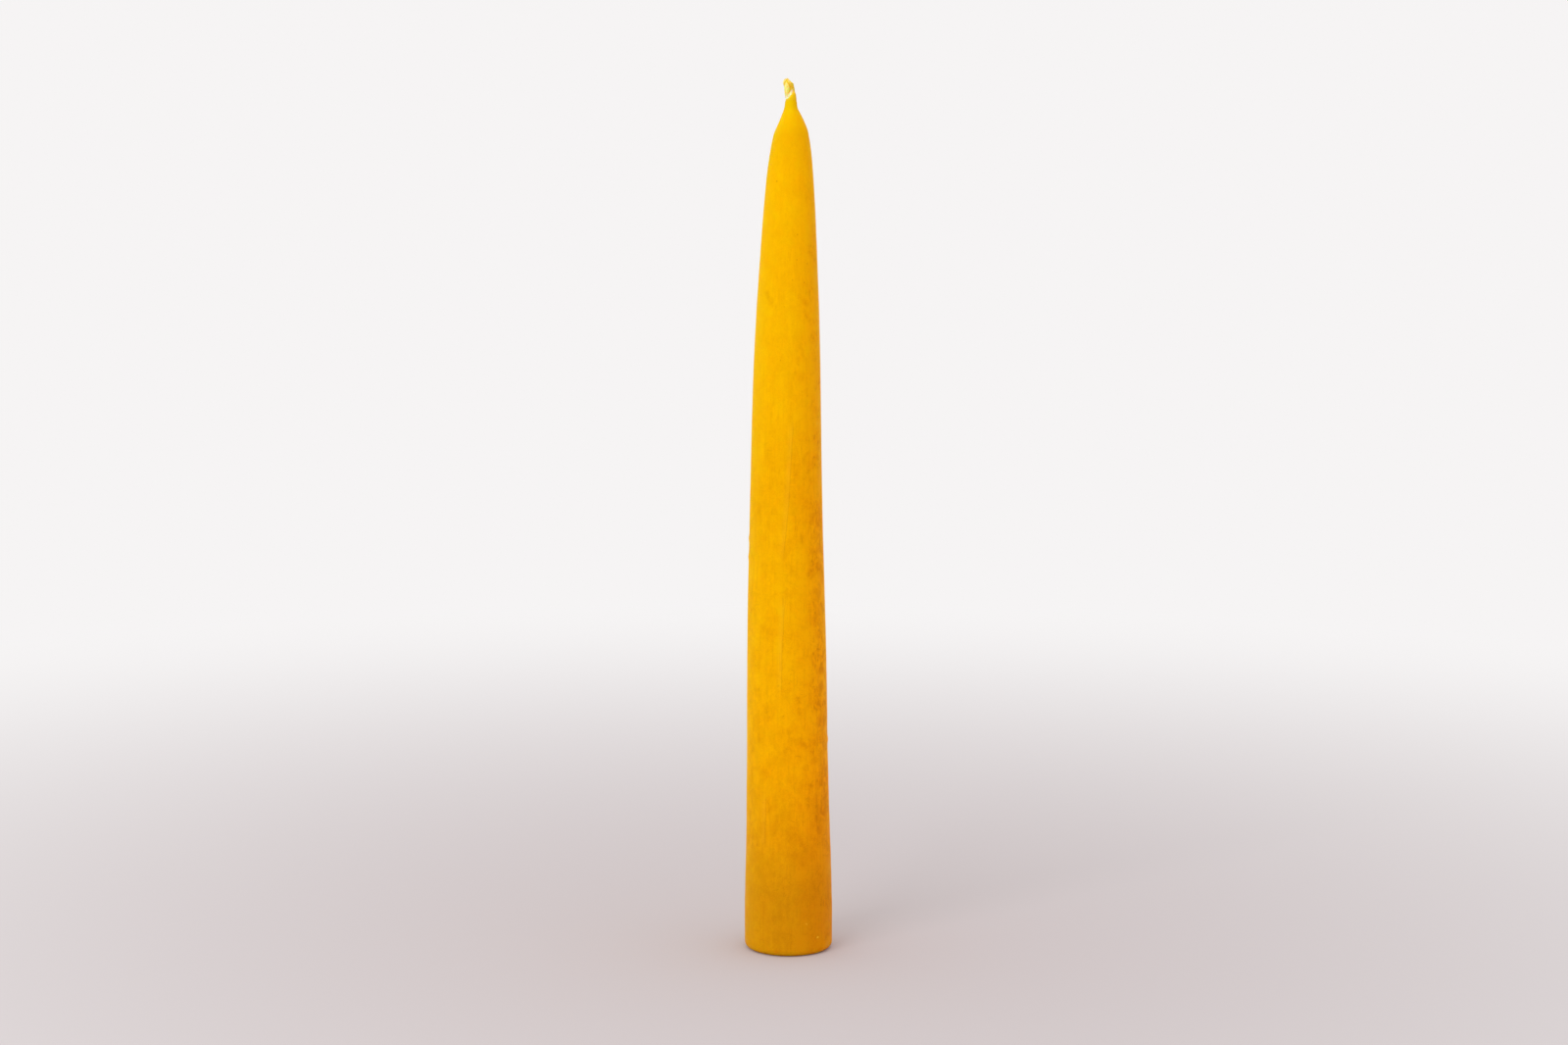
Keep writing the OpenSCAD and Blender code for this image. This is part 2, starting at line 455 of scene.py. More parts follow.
def wax_section(settings):
    """Half section of the wax: the hole that shows the wick's lower end, the foot's face, and the side.

    Above that hole the wax is closed to its middle. It has soaked into the wick there, and light passes on
    through both.
    """
    hole_depth = 3 * MM
    face_edge = WAX_SIDE[0][1]
    face_rows = 12
    hole = [(0.0, hole_depth), (BORE_R, hole_depth)]
    face = [(mix(BORE_R, face_edge, i / face_rows), 0.0) for i in range(face_rows)]
    side = [(radius, height) for height, radius in resampled(WAX_SIDE, settings.row_step)]
    # One row close under the rim keeps the side's shading level up to the wick
    under_rim = (side[-1][0], WAX_TOP - 0.05 * MM)
    return hole + face + side[:-1] + [under_rim, side[-1], (0.0, WAX_TOP)]


def crease_line(crease):
    """(height, angle) points of a crease that is given by its places on the candle's front, from below."""
    line = []
    for x, height in reversed(crease):
        radius = curve_at(WAX_SIDE, height * MM)
        line.append((height, -math.acos((x * MM - bow_shift(height * MM)) / radius)))
    return line


def crease_at(angle, height, radius, lines):
    """Sideways distance from the nearest crease, and how much of that crease is there, from 0 to 1."""
    reach = 4 * MM
    end_fade = 4 * MM
    for line in lines:
        low, high = line[0][0] * MM, line[-1][0] * MM
        if low < height < high:
            across = angle_gap(angle, curve_at(line, height / MM)) * radius
            share = ease((height - low) / end_fade) * ease((high - height) / end_fade)
            if abs(across) < reach:
                return across, share
    return reach, 0.0


def wax_relief(angle, radius, height, settings):
    """How far the set wax stands out from the plain taper at a place on its side."""
    foot_zone, foot_fade = 30 * MM, 60 * MM
    wave_zone, wave_fade = 160 * MM, 30 * MM
    low = 1 - ease((height - foot_zone) / foot_fade)
    waving = 1 - ease((height - wave_zone) / wave_fade)
    wave = math.cos(math.tau * (height - settings.wave_crest) / settings.wave_length)
    relief = settings.wave_depth * waving * wave
    x, y, z = radius / MM * math.cos(angle), radius / MM * math.sin(angle), height / MM
    for across, along, place, above, at_foot in LUMPS:
        lump = noise.noise(Vector((x / across, y / across, z / along + place)))
        relief += settings.lumps * MM * mix(above, at_foot, low) * lump
    for degrees, middle, depth, reach in BUMPS:
        if abs(height / MM - middle) < reach:
            turn = angle_gap(angle, math.radians(degrees)) * radius / MM
            away = math.hypot(turn, height / MM - middle)
            relief += MM * depth * (1 - ease(away / reach))
    return relief


def stain_and_painted_light_at(angle, height, radius):
    """Sum of the strengths at a place on the side of the stains, the painted highlight runs and the painted
    shadow run.
    """
    found = 0.0
    for start, low, end, high, reach, strength in STAINS:
        if min(low, high) - reach < height < max(low, high) + reach:
            run = Vector((angle_gap(math.radians(end), math.radians(start)) * radius, high - low))
            away = Vector((angle_gap(angle, math.radians(start)) * radius, height - low))
            away -= run * min(1.0, max(0.0, away.dot(run) / run.length_squared))
            found += strength * (1 - ease(away.length / reach))
    return found


def set_wax(piece, settings):
    """Bows the spun wax, tilts its shoulder, and gives its side the waves, lumps and creases of dipping."""
    face_fade, foot_fade, top_fade = 2 * MM, 1.5 * MM, 6 * MM
    ledge_height, ledge_width, ledge_run = 0.01 * MM, 1 * MM, 3 * MM
    tilt_low, tilt_rise, tilt_high, tilt_fall = 194 * MM, 9 * MM, 213.5 * MM, 4 * MM
    hole_edge = BORE_R + 0.02 * MM
    lines = [crease_line(crease) for crease in CREASES]
    count = len(piece.data.vertices)
    stored = {name: [0.0] * count for name in ("relief", "stain_and_painted_light", "crease_across", "crease_share")}
    for vertex in piece.data.vertices:
        radius = math.hypot(vertex.co.x, vertex.co.y)
        height = vertex.co.z
        if radius > hole_edge:
            angle = math.atan2(vertex.co.y, vertex.co.x)
            across, share = crease_at(angle, height, radius, lines)
            # One layer ends at the crease and stands a little proud of the other
            ledge = ledge_height * share * ease(0.5 - across / ledge_width) * ease(across / ledge_run + 1)
            outside = ease((radius - BORE_R) / face_fade) * ease(height / foot_fade)
            outside *= ease((WAX_TOP - height) / top_fade)
            relief = (wax_relief(angle, radius, height, settings) + ledge) * outside
            stored["relief"][vertex.index] = relief / MM
            stored["stain_and_painted_light"][vertex.index] = stain_and_painted_light_at(angle, height / MM, radius / MM)
            stored["crease_across"][vertex.index] = across / MM
            stored["crease_share"][vertex.index] = share
            vertex.co.x *= (radius + relief) / radius
            vertex.co.y *= (radius + relief) / radius
            shoulder = ease((height - tilt_low) / tilt_rise) * ease((tilt_high - height) / tilt_fall)
            vertex.co.z += settings.shoulder_tilt * shoulder * math.cos(angle)
        vertex.co.x += bow_shift(height)
    store(piece, stored)
    piece.data.update()


def thin_marks(add, place, marks, half_width):
    """Presence from 0 to 1 of straight thin marks, each given as the angle and the height of its two ends."""
    found = 0.0
    for start, low, end, high in marks:
        first, run = on_side(start, low), on_side(end, high) - on_side(start, low)
        away = add("ShaderNodeVectorMath", {0: place, 1: first}, operation="SUBTRACT")
        along = add("ShaderNodeVectorMath", {0: away, 1: run / run.length_squared}, "Value",
                    operation="DOT_PRODUCT")
        along = add("ShaderNodeMath", {0: along, 1: 1.0}, operation="MULTIPLY", use_clamp=True)
        away = add("ShaderNodeVectorMath", {0: along, 1: -run, 2: away}, operation="MULTIPLY_ADD")
        away = add("ShaderNodeVectorMath", {0: away}, "Value", operation="LENGTH")
        mark = add("ShaderNodeMapRange", {"Value": away, "From Min": half_width, "From Max": 0.0}, **SMOOTH)
        found = add("ShaderNodeMath", {0: found, 1: mark}, operation="MAXIMUM")
    return found


def round_marks(add, place, marks):
    """Presence from 0 to 1 of round marks, each given as an angle, a height and a radius in millimetres."""
    found = 0.0
    for degrees, height, radius in marks:
        middle, rim = on_side(degrees, height), radius * MM
        away = add("ShaderNodeVectorMath", {0: place, 1: middle}, "Value", operation="DISTANCE")
        mark = add("ShaderNodeMapRange", {"Value": away, "From Min": rim, "From Max": 0.3 * rim}, **SMOOTH)
        found = add("ShaderNodeMath", {0: found, 1: mark}, operation="MAXIMUM")
    return found


def with_side_shade(add, place, height, colour, settings):
    """The wax colour with painted shade on the +X side, away from the lamp, and the cosine of the angle from
    +X.

    The painted shade is weaker in the thin wax of the cone and neck.
    """
    outwards = add("ShaderNodeVectorMath", {0: place, 1: (1, 1, 0)}, operation="MULTIPLY")
    outwards = add("ShaderNodeVectorMath", {0: outwards}, operation="NORMALIZE")
    side = add("ShaderNodeSeparateXYZ", {"Vector": outwards}, "X")
    shaded = add("ShaderNodeMapRange", {"Value": side, "From Min": -0.3, "From Max": 1.3}, **SMOOTH)
    shade_share = add("ShaderNodeMapRange", {
        "Value": height, "From Min": 208 * MM, "From Max": 180 * MM, "To Min": 0.65, "To Max": 1.0})
    shaded = add("ShaderNodeMath", {0: shaded, 1: shade_share}, operation="MULTIPLY")
    shade_tinted = add("ShaderNodeMix", {"Factor": shaded, 6: colour, 7: [*settings.side_shade_tint, 1]}, 2,
                 data_type="RGBA", blend_type="MULTIPLY")
    return shade_tinted, side


def beeswax_material(settings):
    """Hand-dipped beeswax, set in still air.

    It gives the eye a deep, translucent honey yellow with a soft satin sheen, clearer where the wax is thin,
    where the colour carries painted light. It is darker at the foot with painted shade, and the +X side, away
    from the lamp, carries painted shade too. Up close it has fine mottling, faint threads down the side,
    cloudy blotches, thin curved lines in the lower part, a few hairline creases, pits and stains, with runs
    of painted highlight and painted shadow and two painted glints. All of it is rougher low down and on the
    +X side, where the extra darkness and the dark dips of the relief are painted shade.
    """
    material, add = new_material("Hand-dipped beeswax")
    place = add("ShaderNodeTexCoord", out="Object")
    height = add("ShaderNodeSeparateXYZ", {"Vector": place}, "Z")

    # Darker honey at the foot is painted shade, warm yellow along the side, and the clearer lemon towards the
    # thin neck is painted light shining through the thin wax
    stops = [(16 * MM, settings.shaded_foot_colour), (30 * MM, settings.shaded_low_colour),
             (48 * MM, settings.side_colour), (195 * MM, settings.upper_colour),
             (206 * MM, settings.cone_colour), (214 * MM, settings.tip_colour)]
    share = add("ShaderNodeMath", {0: height, 1: WAX_TOP}, operation="DIVIDE")
    graded = add("ShaderNodeValToRGB", {"Fac": share})
    ramp = graded.node.color_ramp.elements
    for element, (stop, colour) in zip([ramp[0], ramp[1]], [stops[0], stops[-1]]):
        element.position, element.color = stop / WAX_TOP, [*colour, 1]
    for stop, colour in stops[1:-1]:
        ramp.new(stop / WAX_TOP).color = [*colour, 1]
    side_shaded, side = with_side_shade(add, place, height, graded, settings)

    # The side grows rougher from 195 mm down to 90 mm, and towards +X; the darkening towards +X is painted
    # shade of the relief in light that grazes that side
    lower = add("ShaderNodeMapRange", {
        "Value": height, "From Min": 195 * MM, "From Max": 90 * MM, "To Min": 0.6, "To Max": 1.2})
    grazing_shade = add("ShaderNodeMapRange", {
        "Value": side, "From Min": -1.0, "From Max": 1.0, "To Min": 0.8, "To Max": 1.2})
    strength = add("ShaderNodeMath", {0: lower, 1: grazing_shade}, operation="MULTIPLY")
    below_neck = add("ShaderNodeMapRange", {"Value": height, "From Min": 213 * MM, "From Max": 203 * MM})

    # A place shaken by up to 0.5 mm, for marks with uneven rims
    shaken = add("ShaderNodeTexNoise", {
        "Vector": place, "Scale": 1 / (0.8 * MM), "Detail": 2.0, "Roughness": 0.6}, "Color")
    shaken = add("ShaderNodeVectorMath", {0: shaken, 1: (0.5, 0.5, 0.5)}, operation="SUBTRACT")
    shaken = add("ShaderNodeVectorMath", {0: shaken, 1: [1.6 * MM] * 3, 2: place}, operation="MULTIPLY_ADD")

    # The patterns of the wax, each from its share of the height, its size in millimetres, its detail, its
    # roughness and its distortion. A smaller share draws a pattern out down the side, a larger one across it.
    cloud, mottle, grain, streak, thread, chatter_shade, line, patch = (
        add("ShaderNodeTexNoise", {
            "Vector": add("ShaderNodeMapping", {"Vector": place, "Scale": (1.0, 1.0, share)}),
            "Scale": 1 / (size * MM), "Detail": detail, "Roughness": rough, "Distortion": distortion})
        for share, size, detail, rough, distortion in (
            (1.0, 5.0, 2.0, 0.5, 0.5), (0.75, 1.9, 4.0, 0.65, 0.8), (1.0, 0.35, 1.0, 0.5, 0.0),
            (0.06, 0.6, 1.5, 0.6, 0.0), (0.03, 1.7, 3.0, 0.6, 0.0), (0.45, 0.55, 1.5, 0.6, 0.0),
            (2.0, 4.5, 1.0, 0.5, 0.8), (1.0, 4.6, 1.0, 0.5, 0.0)))

    # Clouds 5 mm across, mottling 1.9 mm across and 2.5 mm high, grain of 0.35 mm, and streaks 0.6 mm wide
    # that run 10 mm down the side
    dark_and_shade = 1.075
    for pattern, share in ((cloud, 0.6), (mottle, 0.8), (grain, 0.45), (streak, 0.3)):
        dark_and_shade = add("ShaderNodeMath", {0: pattern, 1: -share, 2: dark_and_shade}, operation="MULTIPLY_ADD")

    # Threads 0.2 mm wide that run 10 to 30 mm down the side, where the clouds let them show
    thread = add("ShaderNodeMath", {0: thread, 1: 0.5}, operation="SUBTRACT")
    thread = add("ShaderNodeMath", {0: thread}, operation="ABSOLUTE")
    thread = add("ShaderNodeMapRange", {"Value": thread, "From Min": 0.03, "From Max": 0.0})
    showing = add("ShaderNodeMapRange", {"Value": cloud, "From Min": 0.45, "From Max": 0.62, "To Max": 0.25})

    # Chatter on the +X side: short dark dashes, 0.3 mm wide and 0.6 mm high, in a broken strip, painted shade
    # of small relief in grazing light
    chatter_shade = add("ShaderNodeMapRange", {"Value": chatter_shade, "From Min": 0.5, "From Max": 0.66, "To Max": 0.4})
    grazed_strip = add("ShaderNodeMapRange", {"Value": side, "From Min": 0.35, "From Max": 0.75}, **SMOOTH)
    broken = add("ShaderNodeMapRange", {"Value": cloud, "From Min": 0.56, "From Max": 0.44, "To Min": 0.1})

    # Thin curved lines, about 0.1 mm wide, which lie more across than along, in patches of the lower half
    line = add("ShaderNodeMath", {0: line, 1: 0.5}, operation="SUBTRACT")
    line = add("ShaderNodeMath", {0: line}, operation="ABSOLUTE")
    line = add("ShaderNodeMapRange", {"Value": line, "From Min": 0.012, "From Max": 0.002}, **SMOOTH)
    patch = add("ShaderNodeMapRange", {"Value": patch, "From Min": 0.53, "From Max": 0.63})
    below = add("ShaderNodeMapRange", {
        "Value": height, "From Min": 150 * MM, "From Max": 70 * MM, "To Min": 0.1, "To Max": 0.3})
    for factor in (patch, below):
        line = add("ShaderNodeMath", {0: line, 1: factor}, operation="MULTIPLY")

    # All of these darken the wax, with painted shade in the dips of its relief, over a thin film, duller
    # towards -X
    relief = add("ShaderNodeAttribute", out="Fac", attribute_name="relief")
    dip_shade = add("ShaderNodeMapRange", {"Value": relief, "From Min": 0.05, "From Max": -0.15, "To Max": 0.2})
    film = add("ShaderNodeMapRange", {
        "Value": side, "From Min": -0.6, "From Max": 0.6, "To Min": 0.2, "To Max": 0.04})
    chatter_shade = add("ShaderNodeMath", {0: chatter_shade, 1: grazed_strip}, operation="MULTIPLY")
    for mark, share in ((dip_shade, 1.0), (thread, showing), (line, 1.0), (chatter_shade, broken)):
        dark_and_shade = add("ShaderNodeMath", {0: mark, 1: share, 2: dark_and_shade}, operation="MULTIPLY_ADD")
    dark_and_shade = add("ShaderNodeMath", {0: dark_and_shade, 1: strength, 2: film}, operation="MULTIPLY_ADD")

    # The stains, with the painted highlight and painted shadow runs, which the mottling breaks up, and the
    # scratches
    stain_and_painted_light = add("ShaderNodeAttribute", out="Fac", attribute_name="stain_and_painted_light")
    breaking = add("ShaderNodeMapRange", {"Value": mottle, "From Min": 0.6, "From Max": 0.4, "To Min": 0.25})
    scratch = thin_marks(add, shaken, SCRATCHES, 0.22 * MM)
    for mark, share in ((stain_and_painted_light, breaking), (scratch, 0.2)):
        dark_and_shade = add("ShaderNodeMath", {0: mark, 1: share, 2: dark_and_shade}, operation="MULTIPLY_ADD")
    dark_and_shade = add("ShaderNodeMath", {0: dark_and_shade, 1: below_neck}, operation="MULTIPLY", use_clamp=True)

    # Hairline creases about 0.2 mm wide, with a small wobble, and the paler wax of the layer that ends there
    across = add("ShaderNodeAttribute", out="Fac", attribute_name="crease_across")
    crease_share = add("ShaderNodeAttribute", out="Fac", attribute_name="crease_share")
    wobbly = add("ShaderNodeMath", {0: mottle, 1: 0.5, 2: across}, operation="MULTIPLY_ADD")
    wobbly = add("ShaderNodeMath", {0: wobbly, 1: 0.25}, operation="SUBTRACT")
    hairline = add("ShaderNodeMath", {0: wobbly}, operation="ABSOLUTE")
    hairline = add("ShaderNodeMapRange", {
        "Value": hairline, "From Min": 0.14, "From Max": 0.04, "To Max": 0.33}, **SMOOTH)
    hairline = add("ShaderNodeMath", {0: hairline, 1: crease_share}, operation="MULTIPLY")
    layer = add("ShaderNodeMapRange", {"Value": wobbly, "From Min": -1.8, "From Max": -0.1}, **SMOOTH)
    layer_end = add("ShaderNodeMath", {0: wobbly, 1: 0.0}, operation="LESS_THAN")
    for factor in (layer_end, crease_share):
        layer = add("ShaderNodeMath", {0: layer, 1: factor}, operation="MULTIPLY")

    # Pits, pale specks with uneven rims, two of which are painted glints on glossy bumps, and small pits all
    # round, 0.3 mm across and about one to the square centimetre
    pit = round_marks(add, place, PITS)
    pit = add("ShaderNodeMath", {0: pit, 1: 0.6}, operation="MULTIPLY")
    speck_and_glint = round_marks(add, shaken, SPECKS_AND_GLINTS)
    small = add("ShaderNodeTexVoronoi", {
        "Vector": place, "Scale": 1 / (4.2 * MM), "Randomness": 1.0}, "Distance")
    small = add("ShaderNodeMapRange", {
        "Value": small, "From Min": 0.055, "From Max": 0.02, "To Max": 0.35}, **SMOOTH)
    small = add("ShaderNodeMath", {0: small, 1: below_neck}, operation="MULTIPLY")
    hollow = pit
    for mark in (small, hairline):
        hollow = add("ShaderNodeMath", {0: hollow, 1: mark}, operation="MAXIMUM")
    pale = add("ShaderNodeMath", {0: layer, 1: 0.12, 2: speck_and_glint}, operation="MULTIPLY_ADD", use_clamp=True)
    pale = add("ShaderNodeMath", {0: pale, 1: 0.7}, operation="MULTIPLY")

    coloured = side_shaded
    for share, colour, blend in (
            (dark_and_shade, settings.dark_and_shade_tint, "MULTIPLY"), (hollow, settings.pit_tint, "MULTIPLY"),
            (pale, settings.pale_colour, "MIX")):
        coloured = add("ShaderNodeMix", {"Factor": share, 6: coloured, 7: [*colour, 1]}, 2,
                       data_type="RGBA", blend_type=blend)

    # Height of the skin in millimetres: mottling, grain, lines, pits and creases, and specks
    skin = 0.0
    for pattern, rise in ((mottle, 0.04), (grain, 0.015), (line, -0.02), (hollow, -0.06), (speck_and_glint, 0.05)):
        skin = add("ShaderNodeMath", {0: pattern, 1: rise, 2: skin}, operation="MULTIPLY_ADD")
    bump = add("ShaderNodeBump", {"Height": skin, "Strength": 0.8, "Distance": MM}, "Normal")
    roughness = add("ShaderNodeMapRange", {
        "Value": cloud, "From Min": 0.3, "From Max": 0.7, "To Min": 0.52, "To Max": 0.42})

    # At the neck the wax is too thin round its wick for light to travel in it
    inner_light = add("ShaderNodeMapRange", {
        "Value": height, "From Min": 210 * MM, "From Max": 214 * MM, "To Min": 0.9, "To Max": 0.0}, **SMOOTH)
    wax = add("ShaderNodeBsdfPrincipled", {
        "Base Color": coloured, "Roughness": roughness, "Normal": bump,
        "IOR": 1.44, "Specular IOR Level": 0.03, "Specular Tint": (1.0, 0.75, 0.1, 1.0),
        "Subsurface Weight": inner_light, "Subsurface Radius": (1.0, 0.3, 0.08),
        "Subsurface Scale": 3.5 * MM})
    add("ShaderNodeOutputMaterial", {"Surface": wax}, None)
    return material


class CANDLE_OT_dipped_wax(bpy.types.Operator):
    """Spin the wax body from the frame's section, then bow it and give it its dipping marks"""

    bl_idname = "candle.dipped_wax"
    bl_label = "Dipped wax"
    bl_options = {"REGISTER", "UNDO"}

    def execute(self, context):
        settings = context.scene.dipped_wax
        bow_shift.cache_clear()
        piece = turned("dipped_wax", wax_section(settings), settings.sides)
        set_wax(piece, settings)
        piece.data.materials.append(beeswax_material(settings))
        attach(piece, "root")
        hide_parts("wax_body")
        return {"FINISHED"}


# Plaited wick


def strand_reach(strand, angle, rise, settings):
    """Distance from the plait's middle to the outside of a strand, looking in one direction at a height."""
    strand_r = settings.plait_width * settings.strand_share / 2
    swing_x = settings.plait_width / 2 - strand_r
    swing_y = settings.plait_width * settings.plait_flat / 2 - strand_r
    t = math.tau * (rise / settings.plait_pitch + strand / STRANDS) + settings.plait_turn
    x, y = swing_x * math.sin(t), swing_y * math.sin(2 * t)
    along = x * math.cos(angle) + y * math.sin(angle)
    reach = along + math.sqrt(max(0.0, strand_r ** 2 - x * x - y * y + along * along))
    side = math.atan2(reach * math.sin(angle) - y, reach * math.cos(angle) - x)
    # Seven twisted yarns to a strand make low ridges under the wax
    yarns, ridge_height, ridge_pitch = 7, 0.015 * MM, 2.4 * MM
    return reach + ridge_height * math.cos(yarns * side + math.tau * rise / ridge_pitch)


def plait_form(angle, rise, settings):
    """Radius of the waxed plait in one direction at a height, and how far its nearest strand stands out."""
    reaches = sorted(strand_reach(strand, angle, rise, settings) / MM for strand in range(STRANDS))
    # The wax rounds out the valleys, so the strands run into each other instead of meeting in a crease
    softness = 0.05
    filled = softness * math.log(sum(math.exp((r - reaches[-1]) / softness) for r in reaches))
    return MM * (reaches[-1] + filled - softness * 0.5), MM * (reaches[-1] - reaches[-2])


def plaited_wick_section():
    """Half section of the wick before it is plaited: its trimmed end, its length and its tip."""
    end_rows, core_step, bare_step = 6, 4 * MM, 0.06 * MM
    root = WAX_TOP - 1.0 * MM
    end = [(WICK_R * i / end_rows, 0.0) for i in range(end_rows)]
    core_rows = round(root / core_step)
    core = [(WICK_R, root * i / core_rows) for i in range(core_rows)]
    bare_rows = round((WICK_TOP - root) / bare_step)
    bare = [(WICK_R, mix(root, WICK_TOP, math.sin(math.pi / 2 * i / bare_rows))) for i in range(bare_rows)]
    return end + core + bare + [(0.0, WICK_TOP)]


def draw_wick(piece, settings):
    """Draws the spun wick out into its film and plait, bends its bare end and has it follow the bowed wax."""
    bare = WICK_TOP - WAX_TOP
    root = 0.15 * MM
    film_low_r, film_high_r, film_run = BORE_R + 0.036 * MM, BORE_R + 0.05 * MM, 1.4 * MM
    # The film gives way to the plait in 0.9 mm, of which six tenths lie below the film's edge
    blend, below, tip_power = 0.9 * MM, 0.6, 1.8
    count = len(piece.data.vertices)
    stored = {"above_film": [-1.0] * count, "crown": [0.0] * count}
    for vertex in piece.data.vertices:
        radius, height = math.hypot(vertex.co.x, vertex.co.y), vertex.co.z
        rise = height - WAX_TOP
        if -root < rise <= 0 < radius:
            # Inside the neck it widens to the film that it carries on above
            full = mix(WICK_R, film_low_r, ease(1 + rise / root))
            vertex.co.x *= full / radius
            vertex.co.y *= full / radius
        elif rise > 0:
            angle = math.atan2(vertex.co.y, vertex.co.x)
            film_r = mix(film_low_r, film_high_r, ease(rise / film_run))
            plait_r, stands_out = plait_form(angle, rise, settings)
            over_edge = rise - settings.film_rise - settings.film_slant * math.cos(angle)
            tip = max(0.0, 1 - (bare - rise) / settings.tip_height)
            full = mix(film_r, plait_r, ease(over_edge / blend + below)) * max(0.0, 1 - tip ** tip_power)
            stored["above_film"][vertex.index] = over_edge / MM
            stored["crown"][vertex.index] = stands_out / MM
            if radius > 0:
                vertex.co.x *= full / radius
                vertex.co.y *= full / radius
            # The tip is cut on a slant, higher on the side to which it leans
            vertex.co.z -= settings.tip_slant * math.cos(angle) * math.sin(math.pi * tip) * (radius > 0)
        vertex.co.x += bow_shift(height) - settings.bend * ease(rise / settings.bend_height)
    store(piece, stored)
    piece.data.update()


def waxed_cotton_material(settings, wax):
    """Plaited cotton yarn, soaked in melted beeswax.

    It gives the eye a pale, see-through lemon with a wet-looking wax skin. The lemon crowns carry painted
    light, and the gold in the valleys and on the +X side is painted shade. The candle's own wax climbs its
    foot and ends in a slanted creamy edge, partly pale cotton and partly a painted highlight.
    """
    material, add = new_material("Waxed cotton plait")
    place = add("ShaderNodeTexCoord", out="Object")
    lean, _, height = add("ShaderNodeSeparateXYZ", {"Vector": place}, None).outputs
    film = add("ShaderNodeAttribute", out="Fac", attribute_name="above_film")
    crown = add("ShaderNodeAttribute", out="Fac", attribute_name="crown")

    # Painted light: lemon on the crowns, and painted shade: gold in the valleys between the strands
    lit_crown = add("ShaderNodeMapRange", {"Value": crown, "From Min": 0.0, "From Max": 0.35}, **SMOOTH)
    # Painted shade: deeper gold on the +X side, away from the lamp and the lean
    shade_share = add("ShaderNodeMapRange", {
        "Value": lean, "From Min": -1.2 * MM, "From Max": 0.3 * MM, "To Max": 0.9}, **SMOOTH)
    # Amber on the last 0.4 mm or so of the tip
    at_tip = add("ShaderNodeMapRange", {
        "Value": height, "From Min": WICK_TOP - 0.7 * MM, "From Max": WICK_TOP - 0.1 * MM, "To Max": 0.8},
        **SMOOTH)
    # A creamy edge about 0.7 mm high, where the film ends, fainter away from the lean; it is partly pale
    # cotton and partly a painted highlight on the side towards the lamp
    rim, falling = (add("ShaderNodeMapRange", {"Value": film, "From Min": start, "From Max": end},
                        **SMOOTH) for start, end in ((-0.1, 0.25), (1.1, 0.45)))
    lit_side_rim = add("ShaderNodeMapRange", {
        "Value": lean, "From Min": 0.6 * MM, "From Max": 0.0, "To Min": 0.05})
    for factor in (falling, lit_side_rim):
        rim = add("ShaderNodeMath", {0: rim, 1: factor}, operation="MULTIPLY")
    # Below that edge lies the candle's own thin wax
    climbing = add("ShaderNodeMapRange", {
        "Value": height, "From Min": WAX_TOP - 0.2 * MM, "From Max": WAX_TOP + 0.8 * MM})
    bare = add("ShaderNodeMapRange", {"Value": film, "From Min": -0.12, "From Max": 0.12}, **SMOOTH)

    coloured = [*settings.valley_shade_colour, 1]
    for share, colour in ((lit_crown, settings.lit_crown_colour), (shade_share, settings.shaded_side_colour),
                          (at_tip, settings.tip_colour), (rim, settings.edge_colour)):
        coloured = add("ShaderNodeMix", {"Factor": share, 6: coloured, 7: [*colour, 1]}, 2, data_type="RGBA")
    thin_wax = add("ShaderNodeMix", {
        "Factor": climbing, 6: [*wax.tip_colour, 1], 7: [*wax.film_colour, 1]}, 2, data_type="RGBA")
    # The film's thin wax gets the same painted shade on its +X side
    thin_wax, _ = with_side_shade(add, place, height, thin_wax, wax)
    coloured = add("ShaderNodeMix", {"Factor": bare, 6: thin_wax, 7: coloured}, 2, data_type="RGBA")

    # Yarn fibres 0.12 mm thick under the wax
    fibre = add("ShaderNodeTexNoise", {"Vector": place, "Scale": 1 / (0.12 * MM), "Detail": 1.0})
    bump = add("ShaderNodeBump", {"Height": fibre, "Strength": 0.25, "Distance": 0.02 * MM}, "Normal")
    inner_light = add("ShaderNodeMath", {0: bare, 1: 0.8}, operation="MULTIPLY")
    cotton = add("ShaderNodeBsdfPrincipled", {
        "Base Color": coloured, "Roughness": 0.4, "Normal": bump,
        "IOR": 1.44, "Specular IOR Level": 0.15, "Specular Tint": (1.0, 0.9, 0.5, 1.0),
        "Subsurface Weight": inner_light, "Subsurface Radius": (1.0, 0.5, 0.2), "Subsurface Scale": 1.0 * MM})
    add("ShaderNodeOutputMaterial", {"Surface": cotton}, None)
    return material


class CANDLE_OT_plaited_wick(bpy.types.Operator):
    """Spin the wick, draw its bare end out into a waxed plait and bend it over"""

    bl_idname = "candle.plaited_wick"
    bl_label = "Plaited wick"
    bl_options = {"REGISTER", "UNDO"}

    def execute(self, context):
        settings = context.scene.plaited_wick
        piece = turned("plaited_wick", plaited_wick_section(), settings.sides)
        draw_wick(piece, settings)
        piece.data.materials.append(waxed_cotton_material(settings, context.scene.dipped_wax))
        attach(piece, "root")
        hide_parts("wick")
        return {"FINISHED"}


# Stage


